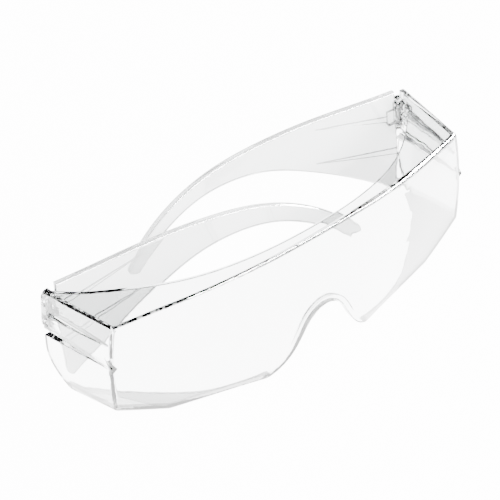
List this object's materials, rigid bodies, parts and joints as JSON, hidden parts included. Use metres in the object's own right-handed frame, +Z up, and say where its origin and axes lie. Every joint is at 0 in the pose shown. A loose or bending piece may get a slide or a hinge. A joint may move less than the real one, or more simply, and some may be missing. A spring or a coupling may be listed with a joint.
{
  "type": "safety glasses",
  "caption": "Clear one-piece wraparound over-the-glasses safety spectacles with brow guard, vented side shields and folding temples.",
  "frame": {"origin": "centre of the overall box's underside, on the surface the spectacles stand on, with the temples folded", "axes": "+Z up, -Y the way the lens faces, +X towards the wearer's left; X is the long way"},
  "size_m": [0.1554, 0.0609, 0.0544],
  "materials": {
    "front_shield": "water-clear moulded polycarbonate, polished",
    "temple_left": "water-clear moulded polycarbonate, polished",
    "temple_right": "water-clear moulded polycarbonate, polished",
    "hinge_pins": "water-clear moulded polycarbonate, polished"
  },
  "bodies": {
    "front": {"front_shield": "front_shield", "hinge_pin_left": "hinge_pins", "hinge_pin_right": "hinge_pins"},
    "temple_left": {"temple_left": "temple_left"},
    "temple_right": {"temple_right": "temple_right"}
  },
  "joints": [
    {"name": "temple_right_hinge", "type": "hinge", "parent": "front", "child": "temple_right", "pos_m": [0.075, 0.0224, 0.0303], "axis": [0, 0, -1], "range_deg": [0, 85.5]},
    {"name": "temple_left_hinge", "type": "hinge", "parent": "front", "child": "temple_left", "pos_m": [-0.075, 0.0224, 0.0303], "axis": [0, 0, 1], "range_deg": [0, 102.6]}
  ],
  "couplings": [
    {"joint": "temple_left_hinge", "follows": "temple_right_hinge", "ratio": 1.2}
  ]
}
